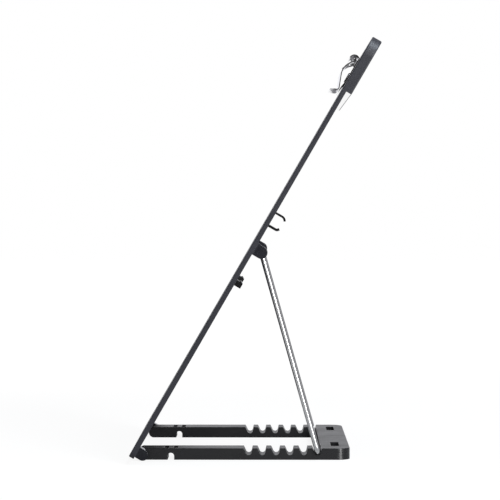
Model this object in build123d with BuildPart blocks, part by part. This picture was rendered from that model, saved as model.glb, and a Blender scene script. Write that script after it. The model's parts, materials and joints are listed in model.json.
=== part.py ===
from build123d import *

import os
from math import acos, atan, cos, degrees, pi, radians, sin, sqrt, tan

# A tabletop music stand: a moulded panel hinged to a flat U-shaped base and held up
# by a bent wire prop, whose cross bar lies in one of six notches of the base's rails.
# Millimetres and degrees. +X runs from the reader to the rear, +Y across, +Z up.
# The origin is on the table, at the middle of the stand's outer box.

# Panel
panel_tilt = 59.8
panel_length = 335.0
panel_width = 230.0
board_thickness_bottom = 3.8
board_thickness_top = 3.2
header_length = 43.0
header_thickness = 7.3
header_corner_radius = 14.0
bottom_corner_radius = 4.0
edge_radius = 0.8
pocket_count = 6
pocket_pitch = 35.0
pocket_rib = 4.0
pocket_wall = 4.0
pocket_margin = 6.0
pocket_corner_radius = 2.0
pocket_floor = 2.9

# Base
rail_height = 8.0
rail_width = 20.0
base_width = 166.0
base_length = 145.5
plate_depth = 20.4
base_corner_radius = 9.0
window_corner_radius = 2.0
base_edge_radius = 0.5

# Panel hinge: a lug outside each rail, with a pin into the rail's end
hinge_along = 2.7
hinge_behind = 8.1
lug_radius = 3.9
lug_width = 7.0
lug_gap = 0.3
hinge_pin_diameter = 3.0
hinge_pin_length = 20.0
hinge_pin_cover = 1.5
pin_chamfer = 0.2
running_gap = 0.05
pressed_gap = 0.02

# Prop
wire_diameter = 3.8
wire_bend_radius = 3.5
leg_gap = 1.0
pivot_along = 167.1
pivot_behind = 8.5
boss_radius = 4.4
boss_width = 7.0
boss_gap = 0.5
pivot_depth = 5.2
wire_end_chamfer = 0.4

# Notches of the rails: ramped at the front, nearly upright at the rear
notch_count = 6
notch_pitch = 9.7
last_notch_reach = 122.7
notch_depth = 4.7
notch_ramp = 25.0
notch_lean = 12.0
notch_gap = 0.25

# Snap notches under the rails, and the moulding slots over them
snap_reach = 19.5
snap_width = 4.6
snap_depth = 4.9
slot_offset = 3.25
slot_length = 2.9
slot_width = 14.0
slot_depth = 2.5
slot_inset = 2.2

# Latches on the panel's back, and their holes in the rear plate
latch_reach = 136.1
latch_spread = 54.1
latch_length = 4.4
latch_width = 16.0
latch_height = 5.2
latch_barb = 0.6
latch_barb_height = 2.6
latch_tenon = 3.0
latch_tenon_depth = 1.9
hole_offset = 0.6
hole_length = 5.9
hole_width = 25.0
seat_gap = 0.1

# Pen clip on the panel's back
pen_foot = 1.2
pen_lower_along = 185.5
pen_upper_along = 196.2
pen_width = 14.0
pen_upper_thickness = 1.6
pen_lower_thickness = 1.9
pen_upper_arm = 5.9
pen_lower_arm = 6.6
pen_upper_bend = 3.5
pen_lower_bend = 1.7
pen_bend_angle = 48.0
pen_tip = 1.3
pen_foot_margin = 3.0

# Sheet clip on the front of the header
clip_width = 50.0
clip_sheet = 0.7
clip_axis_along = 321.2
clip_axis_out = 2.9
clip_bottom_along = 295.6
pad_length = 4.0
pad_rise = 0.9
pad_ramp = 5.0
pad_bend = 4.0
clip_pin_diameter = 1.6
clip_pin_length = 48.0
hood_radius = 3.6
hood_bend = 1.2
barrel_wrap = 80.0
jaw_lead_angle = 41.4
jaw_lead = 1.27
jaw_shoulder_radius = 10.8
jaw_lean = 21.1
jaw_contact_drop = 22.9
jaw_contact_radius = 1.5
lip_angle = 26.0
lip_length = 5.0
lip_corner_radius = 4.0
plate_corner_radius = 2.0
ear_spread = 15.0
ear_thickness = 1.0
ear_radius = 1.5
ear_clearance = 0.3
jaw_window_radius = 4.0
rivet_spread = 17.5
rivet_along = 309.0
rivet_radius = 1.6
rivet_head_radius = 2.8
rivet_head_height = 0.9
rivet_dome = 0.8
rivet_tail_radius = 2.6
rivet_tail_height = 0.8

# Torsion spring of the clip
spring_wire = 0.8
spring_radius = 1.45
spring_pitch = 1.26
spring_quarters = 33
spring_back_arm = 2.0
spring_exit = 2.15
spring_arm = 6.5
spring_arm_angle = 21.5
spring_bend = 1.0

# Directions of the panel: up along it, and out of its back
tilt = radians(panel_tilt)
up = Vector(cos(tilt), 0, sin(tilt))
back = Vector(sin(tilt), 0, -cos(tilt))
across = Vector(0, 1, 0)

# The hinge axis, placed so that the origin is at the middle of the outer box
front_reach = -hinge_along * up.X - hinge_behind * back.X
rear_reach = (panel_length - hinge_along) * up.X + (header_thickness - hinge_behind) * back.X
hinge_x = -(front_reach + rear_reach) / 2
hinge_z = rail_height / 2
hinge = Vector(hinge_x, 0, hinge_z)
panel_origin = hinge - up * hinge_along - back * hinge_behind

# Planes: side profiles of the panel, its back face, and its front face
header_along = panel_length - header_length
taper = atan((board_thickness_bottom - board_thickness_top) / header_along)
back_out = back * cos(taper) + up * sin(taper)
back_origin = panel_origin + back * board_thickness_bottom
panel_side = Plane(panel_origin, x_dir=back, z_dir=-across)
back_side = Plane(back_origin, x_dir=back_out, z_dir=-across)
board_back = Plane(back_origin, x_dir=across, z_dir=back_out)
header_back = Plane(panel_origin + back * header_thickness, x_dir=across, z_dir=back)
clip_side = Plane(panel_origin, x_dir=-back, z_dir=across)
clip_front = Plane(panel_origin, x_dir=-across, z_dir=-back)
stand_side = Plane.XZ

# Places worked out from the driving dimensions
sides = (-1, 1)
cut_margin = 1.0
wire_radius = wire_diameter / 2
hinge_pin_radius = hinge_pin_diameter / 2
rail_middle = (base_width - rail_width) / 2
lug_middle = (base_width + lug_width) / 2 + lug_gap
plate_front = base_length - plate_depth
notch_radius = wire_radius + notch_gap
notch_height = rail_height - notch_depth + notch_radius
notch_mouth_z = rail_height + cut_margin
ramp = radians(notch_ramp)
ramp_foot_x = notch_radius * cos(ramp)
ramp_foot_z = notch_height - notch_radius * sin(ramp)
ramp_mouth_x = ramp_foot_x + (notch_mouth_z - ramp_foot_z) * tan(ramp)
lean = radians(notch_lean)
wall_foot_x = notch_radius * cos(lean)
wall_foot_z = notch_height - notch_radius * sin(lean)
wall_mouth_x = wall_foot_x + (notch_mouth_z - wall_foot_z) * tan(lean)
leg_spread = base_width / 2 + leg_gap + wire_radius
boss_middle = leg_spread + wire_bend_radius + boss_gap + boss_width / 2
boss_inner = boss_middle - boss_width / 2
pivot = panel_origin + up * pivot_along + back * pivot_behind
foot = Vector(hinge_x + last_notch_reach, 0, notch_height)
latch_along = hinge_along + latch_reach
hole_x = hinge_x + latch_reach - hole_offset
clip_pin_radius = clip_pin_diameter / 2
barrel_radius = clip_pin_radius + running_gap + clip_sheet / 2
knuckle_root = board_thickness_bottom / 2
pocket_height = header_length - pocket_wall - pocket_margin
hinge_pin_outer = lug_middle + lug_width / 2 - hinge_pin_cover
hinge_pin_middle = hinge_pin_outer - hinge_pin_length / 2
hinge_hole_end = hinge_pin_outer - hinge_pin_length - seat_gap
pen_middle = (pen_lower_along + pen_upper_along) / 2
pen_foot_length = pen_upper_along - pen_lower_along + 2 * pen_foot_margin
clip_axis = panel_origin + up * clip_axis_along - back * clip_axis_out
hood_kink = degrees(acos((clip_axis_out - clip_sheet / 2 - hood_bend) / (hood_radius - hood_bend)))
hood_start_along = clip_axis_along + (hood_radius - hood_bend) * sin(radians(hood_kink))
pad_along = clip_bottom_along + pad_length
jaw_roll = 270 - jaw_lead_angle - barrel_wrap
jaw_contact_along = clip_axis_along - jaw_contact_drop


def side_plane(plane, y):
    """The side-profile plane, moved to the given place across the stand."""
    return plane.offset(-y)


def arm_profile(along, arm, bend, angle, thickness):
    """A bent arm that stands out of the panel's back."""
    with BuildLine() as middle:
        straight = Line((0, along), (arm, along))
        curl = JernArc(straight @ 1, straight % 1, bend, angle)
        PolarLine(curl @ 1, pen_tip, direction=curl % 1)
    trace(middle.edges(), line_width=thickness)


def knuckle_profile(root, out, along, radius):
    """A round-ended tab for a pin, from its root below the surface that it stands on."""
    with Locations((out, along)):
        Circle(radius)
    with Locations(((root + out) / 2, along)):
        Rectangle(out - root, 2 * radius)


def latch_profile():
    """A latch with a tenon in the panel and a barb at its upper side."""
    half_tenon = latch_tenon / 2
    half = latch_length / 2
    with BuildLine() as outline:
        Polyline(
            (-latch_tenon_depth, latch_along - half_tenon),
            (0, latch_along - half_tenon),
            (0, latch_along - half),
            (latch_height, latch_along - half),
            (latch_height, latch_along + half_tenon),
            (latch_barb_height + latch_barb, latch_along + half + latch_barb),
            (latch_barb_height, latch_along + half + latch_barb),
            (latch_barb_height, latch_along + half),
            (0, latch_along + half),
            (0, latch_along + half_tenon),
            (-latch_tenon_depth, latch_along + half_tenon),
            close=True,
        )
    make_face(outline.edges())


def coil_point(quarter):
    """Middle of the spring's wire after so many quarter turns, from the plate's side."""
    turn = pi + quarter * pi / 2
    shift = (quarter / spring_quarters - 0.5) * spring_quarters / 4 * spring_pitch
    return clip_axis - back * spring_radius * cos(turn) + up * spring_radius * sin(turn) + across * shift


def coil_heading(quarter):
    """Direction of the spring's wire at that place."""
    turn = pi + quarter * pi / 2
    run = back * spring_radius * sin(turn) + up * spring_radius * cos(turn)
    return (run + across * spring_pitch / (2 * pi)).normalized()


def biarc_reach(begin, leave, end, arrive):
    """Length of the two equal tangents from which a pair of arcs is drawn."""
    chord = end - begin
    both = chord.dot(leave + arrive)
    spread = 2 * (1 - leave.dot(arrive))
    return (sqrt(both**2 + spread * chord.dot(chord)) - both) / spread


# Base: rails with round ends at the hinge, and the rear plate
with BuildPart() as base_frame:
    with BuildSketch() as base_outline:
        with Locations((hinge_x + base_length / 2, 0)):
            Rectangle(base_length, base_width)
        fillet(base_outline.vertices().group_by(Axis.X)[-1], base_corner_radius)
        with Locations((hinge_x + plate_front / 2 - cut_margin, 0)):
            Rectangle(plate_front + 2 * cut_margin, base_width - 2 * rail_width, mode=Mode.SUBTRACT)
        inner_corners = base_outline.vertices().filter_by_position(
            Axis.X, hinge_x + plate_front - cut_margin, hinge_x + plate_front + cut_margin
        )
        fillet(inner_corners, window_corner_radius)
    extrude(amount=rail_height)
    rim = base_frame.edges().group_by(Axis.Z)[-1]
    fillet(rim.filter_by(lambda edge: edge.center().X > hinge_x + cut_margin), base_edge_radius)
    with BuildSketch(stand_side):
        with Locations((hinge_x, hinge_z)):
            Circle(rail_height / 2)
    extrude(amount=base_width / 2, both=True)
    with BuildSketch():
        with Locations((hinge_x, 0)):
            Rectangle(rail_height + 2 * cut_margin, base_width - 2 * rail_width)
    extrude(amount=rail_height, mode=Mode.SUBTRACT)
    for side in sides:
        with BuildSketch(side_plane(stand_side, side * hinge_hole_end)):
            with Locations((hinge_x, hinge_z)):
                Circle(hinge_pin_radius + running_gap)
        extrude(amount=-side * hinge_pin_length, mode=Mode.SUBTRACT)
        with BuildSketch(side_plane(stand_side, side * rail_middle)):
            for step in range(notch_count):
                notch_x = hinge_x + last_notch_reach - step * notch_pitch
                with Locations((notch_x, notch_height)):
                    Circle(notch_radius)
                with BuildLine():
                    Polyline(
                        (notch_x - ramp_foot_x, ramp_foot_z),
                        (notch_x - ramp_mouth_x, notch_mouth_z),
                        (notch_x + wall_mouth_x, notch_mouth_z),
                        (notch_x + wall_foot_x, wall_foot_z),
                        close=True,
                    )
                make_face()
            with Locations((hinge_x + snap_reach, snap_depth - snap_width / 2)):
                Circle(snap_width / 2)
            with Locations((hinge_x + snap_reach, (snap_depth - snap_width / 2 - cut_margin) / 2)):
                Rectangle(snap_width, snap_depth - snap_width / 2 + cut_margin)
        extrude(amount=rail_width / 2 + window_corner_radius, both=True, mode=Mode.SUBTRACT)
    with BuildSketch(Plane.XY.offset(rail_height)):
        for side in sides:
            slot_y = side * (base_width / 2 - rail_width + slot_inset + slot_width / 2)
            for way in sides:
                with Locations((hinge_x + snap_reach + way * slot_offset, slot_y)):
                    Rectangle(slot_length, slot_width)
    extrude(amount=-slot_depth, mode=Mode.SUBTRACT)
    with BuildSketch():
        with Locations((hole_x, -latch_spread), (hole_x, latch_spread)):
            Rectangle(hole_length, hole_width)
    extrude(amount=rail_height, mode=Mode.SUBTRACT)
base_frame.part.label = "base_frame"

# Panel: board, header, hinge lugs and prop bosses
with BuildPart() as panel_board:
    with BuildSketch(panel_side):
        with BuildLine():
            Polyline(
                (0, 0),
                (0, panel_length),
                (header_thickness, panel_length),
                (header_thickness, header_along),
                (board_thickness_top, header_along),
                (board_thickness_bottom, 0),
                close=True,
            )
        make_face()
    extrude(amount=panel_width / 2, both=True)
    plan_corners = panel_board.edges().filter_by(Axis((0, 0, 0), back)).filter_by(
        lambda edge: abs(edge.center().Y) > panel_width / 2 - cut_margin
    )
    fillet(plan_corners.group_by(Axis.Z)[-1], header_corner_radius)
    fillet(plan_corners.group_by(Axis.Z)[0], bottom_corner_radius)
    front_face = panel_board.faces().sort_by(Axis(panel_origin, back))[0]
    rear_face = panel_board.faces().sort_by(Axis(panel_origin, back))[-1]
    fillet(front_face.edges(), edge_radius)
    fillet(rear_face.edges(), edge_radius)
    with BuildSketch(header_back):
        with Locations((0, header_along + pocket_wall + pocket_height / 2)):
            with GridLocations(pocket_pitch, 0, pocket_count, 1):
                RectangleRounded(pocket_pitch - pocket_rib, pocket_height, pocket_corner_radius)
    extrude(amount=pocket_floor - header_thickness, mode=Mode.SUBTRACT)
    for side in sides:
        with BuildSketch(side_plane(panel_side, side * lug_middle)):
            knuckle_profile(knuckle_root, hinge_behind, hinge_along, lug_radius)
        extrude(amount=lug_width / 2, both=True)
        with BuildSketch(side_plane(panel_side, side * boss_middle)):
            knuckle_profile(knuckle_root, pivot_behind, pivot_along, boss_radius)
        extrude(amount=boss_width / 2, both=True)
        with BuildSketch(side_plane(panel_side, side * (hinge_pin_outer + seat_gap))):
            with Locations((hinge_behind, hinge_along)):
                Circle(hinge_pin_radius + pressed_gap)
        extrude(amount=side * lug_width, mode=Mode.SUBTRACT)
        with BuildSketch(side_plane(panel_side, side * boss_inner)):
            with Locations((pivot_behind, pivot_along)):
                Circle(wire_radius + running_gap)
        extrude(amount=-side * (pivot_depth + boss_gap), mode=Mode.SUBTRACT)
    with BuildSketch(board_back):
        with Locations((-latch_spread, latch_along), (latch_spread, latch_along)):
            Rectangle(latch_width + 2 * seat_gap, latch_tenon + 2 * seat_gap)
    extrude(amount=-latch_tenon_depth - seat_gap, mode=Mode.SUBTRACT)
    with BuildSketch(board_back):
        with Locations((0, pen_middle)):
            Rectangle(pen_width + 2 * seat_gap, pen_foot_length + 2 * seat_gap)
    extrude(amount=-pen_foot - seat_gap, mode=Mode.SUBTRACT)
    with BuildSketch(clip_front):
        with Locations((-rivet_spread, rivet_along), (rivet_spread, rivet_along)):
            Circle(rivet_radius + pressed_gap)
    extrude(amount=-header_thickness, mode=Mode.SUBTRACT)
panel_board.part.label = "panel_board"

# Pins of the panel hinge, pressed into the lugs and turning in the rails' ends
with BuildPart() as hinge_pin_near:
    with BuildSketch(side_plane(panel_side, -hinge_pin_middle)):
        with Locations((hinge_behind, hinge_along)):
            Circle(hinge_pin_radius)
    extrude(amount=hinge_pin_length / 2, both=True)
    chamfer(hinge_pin_near.edges().filter_by(GeomType.CIRCLE), pin_chamfer)
hinge_pin_near.part.label = "hinge_pin_near"

with BuildPart() as hinge_pin_far:
    with BuildSketch(side_plane(panel_side, hinge_pin_middle)):
        with Locations((hinge_behind, hinge_along)):
            Circle(hinge_pin_radius)
    extrude(amount=hinge_pin_length / 2, both=True)
    chamfer(hinge_pin_far.edges().filter_by(GeomType.CIRCLE), pin_chamfer)
hinge_pin_far.part.label = "hinge_pin_far"

# Prop: one wire, turned out at the top into the bosses
with BuildPart() as prop_wire:
    with BuildLine() as prop_path:
        FilletPolyline(
            pivot - across * (boss_inner + pivot_depth),
            pivot - across * leg_spread,
            foot - across * leg_spread,
            foot + across * leg_spread,
            pivot + across * leg_spread,
            pivot + across * (boss_inner + pivot_depth),
            radius=wire_bend_radius,
        )
    with BuildSketch(Plane(prop_path.line @ 0, z_dir=prop_path.line % 0)):
        Circle(wire_radius)
    sweep()
    wire_ends = prop_wire.faces().filter_by(Axis.Y)
    chamfer(wire_ends.edges(), wire_end_chamfer)
prop_wire.part.label = "prop_wire"

# Latches that snap into the rear plate's holes when the stand is folded
with BuildPart() as fold_latch_near:
    with BuildSketch(side_plane(back_side, -latch_spread)):
        latch_profile()
    extrude(amount=latch_width / 2, both=True)
fold_latch_near.part.label = "fold_latch_near"

with BuildPart() as fold_latch_far:
    with BuildSketch(side_plane(back_side, latch_spread)):
        latch_profile()
    extrude(amount=latch_width / 2, both=True)
fold_latch_far.part.label = "fold_latch_far"

# Pen clip: two arms that face each other on one foot
with BuildPart() as pen_clip:
    with BuildSketch(back_side):
        arm_profile(pen_upper_along, pen_upper_arm, pen_upper_bend, -pen_bend_angle, pen_upper_thickness)
        arm_profile(pen_lower_along, pen_lower_arm, pen_lower_bend, pen_bend_angle, pen_lower_thickness)
        with Locations((-pen_foot / 2, pen_middle)):
            Rectangle(pen_foot, pen_foot_length)
    extrude(amount=pen_width / 2, both=True)
pen_clip.part.label = "pen_clip"

# Sheet clip: plate with a raised pad at its foot, a hood and two ears
with BuildPart() as clip_base:
    with BuildSketch(clip_side):
        with BuildLine():
            plate = FilletPolyline(
                (clip_sheet / 2 + pad_rise, clip_bottom_along),
                (clip_sheet / 2 + pad_rise, pad_along),
                (clip_sheet / 2, pad_along + pad_ramp),
                (clip_sheet / 2, hood_start_along),
                radius=pad_bend,
            )
            kink = JernArc(plate @ 1, plate % 1, hood_bend, -hood_kink)
            JernArc(kink @ 1, kink % 1, hood_radius, hood_kink - 180)
        trace(line_width=clip_sheet)
    extrude(amount=clip_width / 2, both=True)
    plate_corners = clip_base.edges().filter_by(Axis((0, 0, 0), back)).group_by(Axis.Z)[0]
    fillet(plate_corners, plate_corner_radius)
    for side in sides:
        with BuildSketch(clip_side.offset(side * ear_spread)):
            knuckle_profile(clip_sheet / 2, clip_axis_out, clip_axis_along, ear_radius)
            with Locations((clip_axis_out, clip_axis_along)):
                Circle(clip_pin_radius + pressed_gap, mode=Mode.SUBTRACT)
        extrude(amount=ear_thickness / 2, both=True)
    with BuildSketch(clip_front):
        with Locations((-rivet_spread, rivet_along), (rivet_spread, rivet_along)):
            Circle(rivet_radius + pressed_gap)
    extrude(amount=clip_sheet, mode=Mode.SUBTRACT)
clip_base.part.label = "clip_base"

# Sheet clip: jaw, rolled round the pin, bent at a shoulder, led back to the pad and flared to a lip
with BuildPart() as clip_jaw:
    with BuildSketch(clip_side):
        with BuildLine():
            roll = CenterArc((clip_axis_out, clip_axis_along), barrel_radius, barrel_wrap, jaw_roll)
            lead = PolarLine(roll @ 1, jaw_lead, direction=roll % 1)
            shoulder = JernArc(lead @ 1, lead % 1, jaw_shoulder_radius, jaw_lead_angle - 90 - jaw_lean)
            arm_drop = (shoulder @ 1).Y - jaw_contact_along
            arm = PolarLine(shoulder @ 1, arm_drop / cos(radians(jaw_lean)), direction=shoulder % 1)
            press = JernArc(arm @ 1, arm % 1, jaw_contact_radius, 90 + jaw_lean - lip_angle)
            PolarLine(press @ 1, lip_length, direction=press % 1)
        trace(line_width=clip_sheet)
    extrude(amount=clip_width / 2, both=True)
    sheet_edges = clip_jaw.edges().filter_by(lambda edge: abs(edge.length - clip_sheet) < pressed_gap)
    fillet(sheet_edges.sort_by(Axis(panel_origin, -back))[-2:], lip_corner_radius)
    with BuildSketch(clip_side):
        with Locations((clip_axis_out, clip_axis_along)):
            Circle(jaw_window_radius)
    extrude(amount=ear_spread + ear_thickness / 2 + ear_clearance, both=True, mode=Mode.SUBTRACT)
clip_jaw.part.label = "clip_jaw"

# Sheet clip: pin and rivets
with BuildPart() as clip_pin:
    with BuildSketch(clip_side):
        with Locations((clip_axis_out, clip_axis_along)):
            Circle(clip_pin_radius)
    extrude(amount=clip_pin_length / 2, both=True)
    chamfer(clip_pin.edges().filter_by(GeomType.CIRCLE), pin_chamfer)
clip_pin.part.label = "clip_pin"

with BuildPart() as clip_rivets:
    with BuildSketch(clip_front.offset(clip_sheet)):
        with Locations((-rivet_spread, rivet_along), (rivet_spread, rivet_along)):
            Circle(rivet_head_radius)
    extrude(amount=rivet_head_height)
    head_rims = clip_rivets.edges().filter_by(GeomType.CIRCLE).group_by(Axis(panel_origin, -back))[-1]
    fillet(head_rims, rivet_dome)
    with BuildSketch(clip_front.offset(clip_sheet)):
        with Locations((-rivet_spread, rivet_along), (rivet_spread, rivet_along)):
            Circle(rivet_radius)
    extrude(amount=-clip_sheet - pocket_floor)
    with BuildSketch(clip_front.offset(-pocket_floor)):
        with Locations((-rivet_spread, rivet_along), (rivet_spread, rivet_along)):
            Circle(rivet_tail_radius)
    extrude(amount=-rivet_tail_height)
clip_rivets.part.label = "clip_rivets"

# Torsion spring: a coil round the clip's pin, one arm on the plate, one on the jaw
with BuildPart() as clip_spring:
    with BuildLine() as spring_path:
        coil_start = coil_point(0)
        Line(coil_start - coil_heading(0) * spring_back_arm, coil_start)
        for quarter in range(spring_quarters):
            begin = coil_point(quarter)
            end = coil_point(quarter + 1)
            leave = coil_heading(quarter)
            arrive = coil_heading(quarter + 1)
            reach = biarc_reach(begin, leave, end, arrive)
            knee = (begin + leave * reach + end - arrive * reach) * 0.5
            TangentArc(begin, knee, tangent=leave)
            TangentArc(knee, end, tangent=(end - arrive * reach) - (begin + leave * reach))
        coil_end = coil_point(spring_quarters)
        elbow = coil_end + coil_heading(spring_quarters) * spring_exit
        arm_lean = radians(spring_arm_angle)
        arm_tip = elbow + (-back * sin(arm_lean) - up * cos(arm_lean)) * spring_arm
        FilletPolyline(coil_end, elbow, arm_tip, radius=spring_bend)
    with BuildSketch(Plane(spring_path.line @ 0, z_dir=spring_path.line % 0)):
        Circle(spring_wire / 2)
    sweep()
clip_spring.part.label = "clip_spring"

# Least gap between the spring's own turns, from points along its path
spring_line = spring_path.wire()
point_count = int(spring_line.length / (spring_wire / 2))
path_points = [spring_line @ (place / point_count) for place in range(point_count + 1)]
apart = int(pi * spring_radius / (spring_wire / 2))
least_gap = min(
    (path_points[other] - path_points[first]).length - spring_wire
    for first in range(point_count + 1)
    for other in range(first + apart, point_count + 1)
)
print(f"least gap between the spring's turns {least_gap:.3f} mm")

pieces = (
    base_frame,
    hinge_pin_near,
    hinge_pin_far,
    panel_board,
    prop_wire,
    fold_latch_near,
    fold_latch_far,
    pen_clip,
    clip_base,
    clip_jaw,
    clip_pin,
    clip_rivets,
    clip_spring,
)
os.makedirs("parts", exist_ok=True)
for piece in pieces:
    export_step(piece.part, f"parts/{piece.part.label}.step")
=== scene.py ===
import json
from math import cos, pi, radians, sin

import bpy
from mathutils import Matrix, Vector


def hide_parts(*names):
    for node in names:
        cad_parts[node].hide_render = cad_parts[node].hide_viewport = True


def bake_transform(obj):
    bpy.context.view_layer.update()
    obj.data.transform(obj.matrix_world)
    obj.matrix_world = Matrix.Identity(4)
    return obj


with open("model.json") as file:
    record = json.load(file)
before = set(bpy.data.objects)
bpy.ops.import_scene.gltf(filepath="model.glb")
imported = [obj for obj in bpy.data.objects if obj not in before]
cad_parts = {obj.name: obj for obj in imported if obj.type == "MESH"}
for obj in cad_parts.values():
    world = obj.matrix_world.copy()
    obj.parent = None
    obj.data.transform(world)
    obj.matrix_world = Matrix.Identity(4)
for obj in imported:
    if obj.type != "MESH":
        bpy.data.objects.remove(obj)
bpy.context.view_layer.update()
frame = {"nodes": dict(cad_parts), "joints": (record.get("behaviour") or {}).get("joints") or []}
nodes = frame["nodes"]
joints = {joint["name"]: joint for joint in frame["joints"]}
scene = bpy.context.scene

# Dimensions of the part that the scene follows, in metres and degrees
panel_tilt = 59.8
hinge_along = 0.0027
hinge_behind = 0.0081
leg_lean = 15.5
spring_wire_radius = 0.0004
spring_radius = 0.00145
spring_pitch = 0.00126
spring_quarters = 33
spring_back_arm = 0.002
spring_exit = 0.00215
spring_arm = 0.0065
spring_arm_angle = 21.5
spring_bend = 0.001

# How finely the spring's tube is divided
steps_per_quarter = 12
steps_per_bend = 12
tube_sides = 14

# Directions of the panel at rest: up along it, out of its back, and across the stand
tilt = radians(panel_tilt)
up = Vector((cos(tilt), 0, sin(tilt)))
back = Vector((sin(tilt), 0, -cos(tilt)))
across = Vector((0, 1, 0))
hinge = Vector(joints["panel_tilt"]["pos_m"])
clip_axis = Vector(joints["clip_open"]["pos_m"])
panel_origin = hinge - up * hinge_along - back * hinge_behind


class Graph:
    """A node tree with short calls that add a node and hand back what it gives."""

    def __init__(self, tree):
        self.tree = tree
        tree.nodes.clear()

    def add(self, kind, inputs=None, **settings):
        node = self.tree.nodes.new(kind)
        for name, value in settings.items():
            setattr(node, name, value)
        for name, value in (inputs or {}).items():
            self.set(node, name, value)
        return node

    def set(self, node, name, value):
        if isinstance(value, bpy.types.NodeSocket):
            self.tree.links.new(value, node.inputs[name])
        else:
            node.inputs[name].default_value = value

    def math(self, operation, first, second=0.0, clamp=False):
        return self.add(
            "ShaderNodeMath", {0: first, 1: second}, operation=operation, use_clamp=clamp
        ).outputs[0]

    def vector(self, operation, first, second=None):
        inputs = {0: first} if second is None else {0: first, 1: second}
        return self.add("ShaderNodeVectorMath", inputs, operation=operation)

    def dot(self, vector, direction):
        return self.vector("DOT_PRODUCT", vector, tuple(direction)).outputs["Value"]

    def spread(self, value, low, high, to_low, to_high, smooth=False):
        """The value's range from low to high, stretched to another range and held there."""
        return self.add(
            "ShaderNodeMapRange",
            {"Value": value, "From Min": low, "From Max": high, "To Min": to_low, "To Max": to_high},
            interpolation_type="SMOOTHSTEP" if smooth else "LINEAR",
        ).outputs["Result"]

    def mix(self, factor, first, second):
        node = self.add("ShaderNodeMix", data_type="RGBA")
        self.set(node, 0, factor)
        self.set(node, 6, first)
        self.set(node, 7, second)
        return node.outputs[2]

    def stretched(self, vector, turn, size):
        """Coordinates turned about the stand's cross direction, then measured in the given sizes."""
        turned = self.add(
            "ShaderNodeVectorRotate", {"Vector": vector, "Angle": turn}, rotation_type="Y_AXIS"
        ).outputs[0]
        return self.vector("MULTIPLY", turned, tuple(1 / side for side in size)).outputs[0]

    def noise(self, vector, size=1.0, detail=2.0, roughness=0.5):
        return self.add(
            "ShaderNodeTexNoise",
            {"Vector": vector, "Scale": 1 / size, "Detail": detail, "Roughness": roughness},
        ).outputs["Fac"]

    def cells(self, vector, size):
        return self.add(
            "ShaderNodeTexVoronoi", {"Vector": vector, "Scale": 1 / size}, feature="SMOOTH_F1"
        ).outputs["Distance"]

    def bump(self, height, depth, normal):
        return self.add(
            "ShaderNodeBump", {"Height": height, "Distance": depth, "Strength": 1.0, "Normal": normal}
        ).outputs["Normal"]


def new_material(name):
    """A material with an empty graph, its surface shader and the object's own coordinates."""
    material = bpy.data.materials.new(name)
    material.use_nodes = True
    graph = Graph(material.node_tree)
    output = graph.add("ShaderNodeOutputMaterial")
    surface = graph.add("ShaderNodeBsdfPrincipled")
    graph.set(output, "Surface", surface.outputs["BSDF"])
    place = graph.add("ShaderNodeTexCoord").outputs["Object"]
    return material, graph, surface, place


def rounded_edges(graph, radius):
    """The normal with its edges rounded, and a mask that is 1 along them."""
    soft = graph.add("ShaderNodeBevel", {"Radius": radius}, samples=6).outputs["Normal"]
    sharp = graph.add("ShaderNodeNewGeometry").outputs["True Normal"]
    facing = graph.vector("DOT_PRODUCT", soft, sharp).outputs["Value"]
    return soft, graph.spread(facing, 0.995, 0.85, 0, 1)


def panel_polish_and_shade(graph, place, own):
    """1 on the header's step, nearly 1 on the lugs, about half on the bosses, and 0 elsewhere: where the
    panel is polished and painted darker with a painted shade.
    """
    out = graph.math("SUBTRACT", graph.dot(place, back), panel_origin.dot(back))
    along = graph.math("SUBTRACT", graph.dot(place, up), panel_origin.dot(up))
    stands_out = graph.spread(out, 0.0040, 0.0046, 0, 1)
    stands_out = graph.math("MULTIPLY", stands_out, graph.spread(along, 0.04, 0.12, 0.95, 0.55))
    under_header = graph.spread(along, 0.284, 0.288, 1, 0)
    step = graph.spread(graph.dot(own, -up), 0.90, 0.98, 0, 1)
    return graph.math("MAXIMUM", graph.math("MULTIPLY", stands_out, under_header), step)


def side_polish_and_shade(graph, place, own):
    """1 on upright sides, less on those that face the stand's middle, and 0 on tops: where the plastic is
    polished and painted darker with a painted shade.
    """
    side = graph.spread(graph.dot(own, (0, 0, 1)), 0.35, 0.8, 1, 0)
    outward = graph.math("MULTIPLY", graph.dot(own, across), graph.dot(place, across))
    return graph.math("MULTIPLY", side, graph.spread(outward, -0.03, 0.0, 0.12, 1.0))


def drafted(graph, normal, polished_and_shaded, draft):
    """The normal of smooth sides turned up a little, as the draft of a mould turns them."""
    rise = graph.add(
        "ShaderNodeCombineXYZ", {"Z": graph.math("MULTIPLY", polished_and_shaded, draft)}
    ).outputs["Vector"]
    leaned = graph.vector("ADD", normal, rise).outputs["Vector"]
    return graph.vector("NORMALIZE", leaned).outputs["Vector"]


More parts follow.
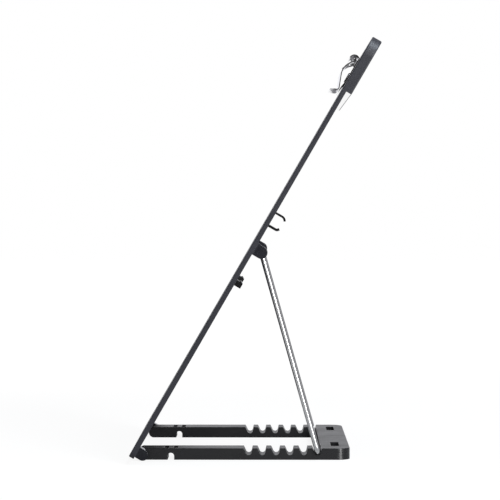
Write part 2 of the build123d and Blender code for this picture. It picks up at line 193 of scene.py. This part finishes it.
def moulded_plastic(
    name, low, high, worn, rough, polish_and_shade, smooth_share, smooth_shine, grain, depth, edge, index,
    draft=0.0, rounding=0.0, glaze=0.0,
):
    """Moulded plastic: clouded colour, spark grain, flow marks, hair scuffs and rubbed edges.

    The places that the polish mask marks keep only a share of the roughness and have a shine of their own,
    and they are painted darker with a painted shade.
    They may also be drafted, rounder at their edges, and glazed where the mark is full.
    """
    material, graph, surface, place = new_material(name)
    polished_and_shaded = polish_and_shade(graph, place, graph.add("ShaderNodeTexCoord").outputs["Normal"])
    grained = graph.math("SUBTRACT", 1.0, polished_and_shaded)
    radius = graph.spread(polished_and_shaded, 0.2, 0.5, edge, rounding) if rounding else edge
    soft, edges = rounded_edges(graph, radius)

    cloud = graph.noise(place, size=0.021, detail=3, roughness=0.55)
    flow_lines = graph.stretched(place, -tilt, (0.012, 0.012, 0.09))
    flow = graph.noise(flow_lines, detail=3, roughness=0.6)
    speck = graph.noise(place, size=grain, detail=2, roughness=0.6)
    pores = graph.cells(place, grain * 2.4)
    hair_lines = graph.stretched(place, -tilt, (0.02, 0.016, 0.05))
    hair = graph.math("SUBTRACT", graph.noise(hair_lines, detail=4, roughness=0.55), 0.5)
    hair = graph.spread(graph.math("ABSOLUTE", hair), 0.0, 0.006, 1, 0)
    patches = graph.noise(place, size=0.005, detail=4, roughness=0.65)
    rubbed = graph.math("MULTIPLY", edges, graph.spread(patches, 0.42, 0.66, 0, 1))

    colour = graph.mix(graph.spread(cloud, 0.3, 0.7, 0, 1), low, high)
    colour = graph.mix(graph.math("MULTIPLY", rubbed, 0.55), colour, worn)
    colour = graph.mix(graph.math("MULTIPLY", hair, 0.12), colour, worn)
    # Painted shade: the places the polish mask marks are painted half way to near black, which darkens the
    # lugs, the bosses, the header's step and the upright sides.
    colour = graph.mix(graph.math("MULTIPLY", polished_and_shaded, 0.5), colour, (0.004, 0.004, 0.005, 1))
    graph.set(surface, "Base Color", colour)

    matt = graph.spread(flow, 0.3, 0.7, rough[0], rough[1])
    matt = graph.math("ADD", matt, graph.spread(speck, 0.3, 0.7, -0.03, 0.03))
    matt = graph.math("SUBTRACT", matt, graph.math("MULTIPLY", rubbed, 0.08))
    matt = graph.math("SUBTRACT", matt, graph.math("MULTIPLY", hair, 0.05))
    matt = graph.math("MULTIPLY", matt, graph.spread(polished_and_shaded, 0, 1, 1.0, smooth_share), clamp=True)
    graph.set(surface, "Roughness", matt)

    height = graph.math("ADD", graph.math("MULTIPLY", speck, 0.7), graph.math("MULTIPLY", pores, 0.3))
    height = graph.math("MULTIPLY", height, grained)
    leaned = drafted(graph, soft, polished_and_shaded, draft) if draft else soft
    graph.set(surface, "Normal", graph.bump(height, depth, leaned))
    graph.set(surface, "Specular IOR Level", graph.spread(polished_and_shaded, 0, 1, 0.5, smooth_shine))
    surface.inputs["IOR"].default_value = index
    if glaze:
        graph.set(surface, "Coat Weight", graph.spread(polished_and_shaded, 0.96, 1.0, 0, glaze))
    return material


def plated_metal(name, low, high, rough, lines, turn, wave_size, wave_depth, edge, cut):
    """Plated metal: a bright skin with faint drawn lines, slow waves and a few dull spots.

    End faces that look across the stand are sheared edges, dull and of the colour given for a cut.
    """
    material, graph, surface, place = new_material(name)
    soft, edges = rounded_edges(graph, edge)
    haze = graph.noise(place, size=0.009, detail=3, roughness=0.6)
    drawn = graph.noise(graph.stretched(place, turn, lines))
    slow = graph.noise(place, size=wave_size, detail=1, roughness=0.4)
    spots = graph.spread(graph.noise(place, size=0.0016), 0.66, 0.74, 0, 1)
    own = graph.add("ShaderNodeTexCoord").outputs["Normal"]
    sheared = graph.spread(graph.math("ABSOLUTE", graph.dot(own, across)), 0.90, 0.97, 0, 1)
    at_end = graph.spread(graph.math("ABSOLUTE", graph.dot(place, across)), 0.020, 0.022, 0, 1)
    sheared = graph.math("MULTIPLY", sheared, at_end)

    colour = graph.mix(graph.spread(haze, 0.3, 0.7, 0, 1), low, high)
    graph.set(surface, "Base Color", graph.mix(sheared, colour, cut))

    matt = graph.spread(haze, 0.3, 0.7, rough[0], rough[1])
    matt = graph.math("ADD", matt, graph.math("MULTIPLY", sheared, 0.22))
    matt = graph.math("ADD", matt, graph.spread(drawn, 0.35, 0.75, 0.0, 0.05))
    matt = graph.math("ADD", matt, graph.math("MULTIPLY", spots, 0.08))
    matt = graph.math("ADD", matt, graph.math("MULTIPLY", edges, 0.03), clamp=True)
    graph.set(surface, "Roughness", matt)

    waved = graph.bump(slow, wave_depth, soft)
    graph.set(surface, "Normal", graph.bump(drawn, 0.000003, waved))
    surface.inputs["Metallic"].default_value = 1.0
    return material


charcoal = moulded_plastic(
    "charcoal_plastic",
    low=(0.0185, 0.0189, 0.0255, 1),
    high=(0.0265, 0.0272, 0.0355, 1),
    worn=(0.070, 0.072, 0.084, 1),
    rough=(0.40, 0.46),
    polish_and_shade=panel_polish_and_shade,
    smooth_share=0.20,
    smooth_shine=0.28,
    grain=0.00042,
    depth=0.00002,
    edge=0.00025,
    index=1.46,
    rounding=0.0009,
    glaze=1.0,
)
satin = moulded_plastic(
    "black_satin_plastic",
    low=(0.004, 0.004, 0.005, 1),
    high=(0.007, 0.007, 0.0085, 1),
    worn=(0.045, 0.046, 0.051, 1),
    rough=(0.33, 0.41),
    polish_and_shade=side_polish_and_shade,
    smooth_share=0.80,
    smooth_shine=0.74,
    grain=0.00036,
    depth=0.00002,
    edge=0.0005,
    index=1.43,
    draft=0.07,
)
gloss = moulded_plastic(
    "black_gloss_plastic",
    low=(0.004, 0.004, 0.005, 1),
    high=(0.007, 0.007, 0.008, 1),
    worn=(0.040, 0.041, 0.045, 1),
    rough=(0.30, 0.38),
    polish_and_shade=side_polish_and_shade,
    smooth_share=0.75,
    smooth_shine=0.45,
    grain=0.00030,
    depth=0.00001,
    edge=0.0003,
    index=1.46,
)
wire = plated_metal(
    "bright_wire",
    low=(0.70, 0.70, 0.705, 1),
    high=(0.77, 0.77, 0.775, 1),
    rough=(0.07, 0.12),
    lines=(0.0012, 0.0012, 0.06),
    turn=radians(leg_lean),
    wave_size=0.02,
    wave_depth=0.00002,
    edge=0.0003,
    cut=(0.60, 0.60, 0.60, 1),
)
chrome = plated_metal(
    "clip_chrome",
    low=(0.70, 0.70, 0.715, 1),
    high=(0.79, 0.79, 0.80, 1),
    rough=(0.05, 0.09),
    lines=(0.0012, 0.03, 0.0012),
    turn=-tilt,
    wave_size=0.016,
    wave_depth=0.00004,
    edge=0.0002,
    cut=(0.10, 0.092, 0.085, 1),
)
steel = plated_metal(
    "drawn_steel",
    low=(0.58, 0.58, 0.595, 1),
    high=(0.66, 0.66, 0.67, 1),
    rough=(0.20, 0.30),
    lines=(0.0008, 0.012, 0.0008),
    turn=-tilt,
    wave_size=0.005,
    wave_depth=0.00002,
    edge=0.0002,
    cut=(0.22, 0.21, 0.20, 1),
)

finish = {
    "base_frame": satin,
    "panel_board": charcoal,
    "prop_wire": wire,
    "fold_latch_near": gloss,
    "fold_latch_far": gloss,
    "pen_clip": gloss,
    "clip_base": chrome,
    "clip_jaw": chrome,
    "clip_pin": steel,
    "clip_rivets": steel,
    "clip_spring": steel,
    "hinge_pin_near": steel,
    "hinge_pin_far": steel,
}
for node_name, coat in finish.items():
    for slot in nodes[node_name].material_slots:
        slot.material = coat


def coil_point(quarter):
    """Middle of the spring's wire after so many quarter turns round the clip's pin."""
    turn = pi + quarter * pi / 2
    shift = (quarter - spring_quarters / 2) / 4 * spring_pitch
    return (
        clip_axis
        - back * spring_radius * cos(turn)
        + up * spring_radius * sin(turn)
        + across * shift
    )


def spring_route():
    """The middle line of the clip's spring: arm on the plate, coil, elbow, arm on the jaw."""
    steps = spring_quarters * steps_per_quarter
    coil = [coil_point(step / steps_per_quarter) for step in range(steps + 1)]
    first = (coil[0] - coil[1]).normalized()
    last = (coil[-1] - coil[-2]).normalized()
    lean = radians(spring_arm_angle)
    arm = -back * sin(lean) - up * cos(lean)
    elbow = coil[-1] + last * spring_exit
    half = last.angle(arm) / 2
    start = elbow - last * spring_bend * sin(half) / cos(half)
    centre = elbow + (arm - last).normalized() * spring_bend / cos(half)
    axis = last.cross(arm).normalized()
    bend = []
    for step in range(steps_per_bend + 1):
        swing = Matrix.Rotation(2 * half * step / steps_per_bend, 3, axis)
        bend.append(centre + swing @ (start - centre))
    back_tip = coil[0] + first * spring_back_arm
    back_middle = coil[0] + first * spring_back_arm / 2
    return [back_tip, back_middle, *coil, *bend, elbow + arm * spring_arm]


def domed_end(point, outward, heading, side, radius):
    """Rings that close a wire's end in a low dome, from its tip to its full width."""
    rings = []
    for share in (0.35, 0.7, 0.92):
        rise = radius * 0.5 * cos(share * pi / 2)
        rings.append((point + outward * rise, heading, side, radius * share))
    return rings


def tube(name, route, radius, sides):
    """A round wire along the route, with domed ends."""
    along = [(route[1] - route[0]).normalized()]
    for before, after in zip(route, route[2:]):
        along.append((after - before).normalized())
    along.append((route[-1] - route[-2]).normalized())
    side = along[0].orthogonal().normalized()
    rings = []
    for point, heading in zip(route, along):
        side = (side - heading * side.dot(heading)).normalized()
        rings.append((point, heading, side, radius))
    head = domed_end(route[0], -along[0], along[0], rings[0][2], radius)
    tail = domed_end(route[-1], along[-1], along[-1], rings[-1][2], radius)
    rings = head + rings + tail[::-1]
    points = []
    for point, heading, side, size in rings:
        other = heading.cross(side)
        for step in range(sides):
            turn = 2 * pi * step / sides
            points.append(point + side * size * cos(turn) + other * size * sin(turn))
    faces = []
    for ring in range(len(rings) - 1):
        for step in range(sides):
            this = ring * sides + step
            beside = ring * sides + (step + 1) % sides
            faces.append((this, beside, beside + sides, this + sides))
    faces.append(tuple(reversed(range(sides))))
    faces.append(tuple(range(len(points) - sides, len(points))))
    mesh = bpy.data.meshes.new(name)
    mesh.from_pydata(points, [], faces)
    mesh.shade_smooth()
    piece = bpy.data.objects.new(name, mesh)
    scene.collection.objects.link(piece)
    return piece


spring = tube("clip_torsion_spring", spring_route(), spring_wire_radius, tube_sides)
spring.data.materials.append(steel)
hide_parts("clip_spring")
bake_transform(spring)

# Floor: pale, with the object's soft shadow, and white where nothing shades it
floor_reach = 6.0
floor_drop = 0.00005
floor_glow = 1.04
floor_mesh = bpy.data.meshes.new("floor")
floor_mesh.from_pydata(
    [
        (-floor_reach, -floor_reach, 0),
        (floor_reach, -floor_reach, 0),
        (floor_reach, floor_reach, 0),
        (-floor_reach, floor_reach, 0),
    ],
    [],
    [(0, 1, 2, 3)],
)
floor = bpy.data.objects.new("floor", floor_mesh)
floor.location.z = -floor_drop
scene.collection.objects.link(floor)


def pale_floor():
    """Near white where it is seen directly, white in mirrors far behind, and else plain grey."""
    material, graph, surface, place = new_material("pale_floor")
    rays = graph.add("ShaderNodeLightPath")
    direct = graph.math("MAXIMUM", rays.outputs["Is Camera Ray"], rays.outputs["Is Transmission Ray"])
    cloudy = graph.noise(place, size=0.4)
    lit = graph.mix(cloudy, (0.43, 0.43, 0.43, 1), (0.47, 0.47, 0.47, 1))
    shown = graph.mix(cloudy, (0.88, 0.88, 0.88, 1), (0.92, 0.92, 0.92, 1))
    paper = graph.mix(direct, lit, shown)
    out_there = graph.vector("LENGTH", place).outputs["Value"]
    far = graph.spread(out_there, 0.25, 0.9, 0.84, 1.0, smooth=True)
    behind = graph.spread(graph.dot(place, across), 0.1, 0.8, 0.10, 1.0, smooth=True)
    white = graph.math("MULTIPLY", direct, far)
    mirrored = graph.math("MULTIPLY", rays.outputs["Is Glossy Ray"], behind)
    glow = graph.math("MAXIMUM", white, mirrored)
    graph.set(surface, "Base Color", graph.mix(glow, paper, (0, 0, 0, 1)))
    surface.inputs["Roughness"].default_value = 0.9
    surface.inputs["Specular IOR Level"].default_value = 0.0
    surface.inputs["Emission Color"].default_value = (1, 1, 1, 1)
    graph.set(surface, "Emission Strength", graph.math("MULTIPLY", glow, floor_glow))
    return material


floor.data.materials.append(pale_floor())

# The room's brightness by heading, in degrees: 0 is towards the camera, 90 to the stand's rear
room_levels = (
    (-180, 1.00), (-166, 1.00), (-156, 0.62), (-105, 0.60), (-60, 0.50), (-20, 0.44), (-8, 0.40),
    (8, 0.40), (18, 0.46), (52, 0.55), (80, 0.36), (115, 0.27), (154, 0.27), (166, 1.00),
)
room_tint = (0.955, 0.96, 1.0)


def studio():
    """A world that is white to the camera, and a grey room with a white back wall in mirrors."""
    world = bpy.data.worlds.new("studio")
    world.use_nodes = True
    graph = Graph(world.node_tree)
    output = graph.add("ShaderNodeOutputWorld")
    light = graph.add("ShaderNodeBackground", {"Color": (1, 1, 1, 1)})
    graph.set(output, "Surface", light.outputs["Background"])
    way = graph.add("ShaderNodeSeparateXYZ", {0: graph.add("ShaderNodeTexCoord").outputs["Generated"]})
    heading = graph.math("ARCTAN2", way.outputs["X"], graph.math("MULTIPLY", way.outputs["Y"], -1.0))
    room = graph.add("ShaderNodeValToRGB", {"Fac": graph.spread(heading, -pi, pi, 0, 1)})
    while len(room.color_ramp.elements) < len(room_levels):
        room.color_ramp.elements.new(0.5)
    for element, (degrees_round, level) in zip(room.color_ramp.elements, room_levels):
        element.position = (degrees_round + 180) / 360
        element.color = (*(level * share for share in room_tint), 1)
    high = graph.spread(way.outputs["Z"], 0.28, 0.55, 0, 1, smooth=True)
    around = graph.mix(high, room.outputs["Color"], (0.20, 0.20, 0.21, 1))
    rays = graph.add("ShaderNodeLightPath")
    mirrored = graph.mix(rays.outputs["Is Glossy Ray"], (0.30, 0.30, 0.30, 1), around)
    direct = graph.math("MAXIMUM", rays.outputs["Is Camera Ray"], rays.outputs["Is Transmission Ray"])
    graph.set(light, "Color", graph.mix(direct, mirrored, (1, 1, 1, 1)))
    return world


scene.world = studio()


def lamp(name, place, aim, width, height, power, tint=(1.0, 1.0, 1.0)):
    """A soft box that faces the given point."""
    data = bpy.data.lights.new(name, "AREA")
    data.shape = "RECTANGLE"
    data.size = width
    data.size_y = height
    data.energy = power
    data.color = tint
    box = bpy.data.objects.new(name, data)
    box.location = place
    box.rotation_euler = (Vector(aim) - Vector(place)).to_track_quat("-Z", "Y").to_euler()
    scene.collection.objects.link(box)


lamp("key_box", (0.52, -0.36, 1.05), (0.03, 0, 0.2), width=0.45, height=0.45, power=7, tint=(0.84, 0.92, 1.0))
lamp("strip_box", (0.74, -1.15, 0.45), (0.03, 0, 0.15), width=0.34, height=0.90, power=13)
lamp("fill_box", (-1.1, -0.8, 0.9), (0, 0, 0.12), width=0.9, height=0.9, power=2)
lamp("top_box", (0.0, 0.3, 1.5), (0, 0, 0.1), width=1.2, height=1.2, power=4)

# Camera at the photograph's place, aimed a little down and to the left
camera_place = (0.00588, -1.5490, 0.1734)
camera_down = 1.015
camera_left = 0.3837
view = bpy.data.cameras.new("camera")
view.sensor_width = 36.0
view.lens = 150.54
camera = bpy.data.objects.new("camera", view)
camera.location = camera_place
camera.rotation_euler = (radians(90 - camera_down), 0, radians(camera_left))
scene.collection.objects.link(camera)
scene.camera = camera
scene.view_settings.view_transform = "Standard"
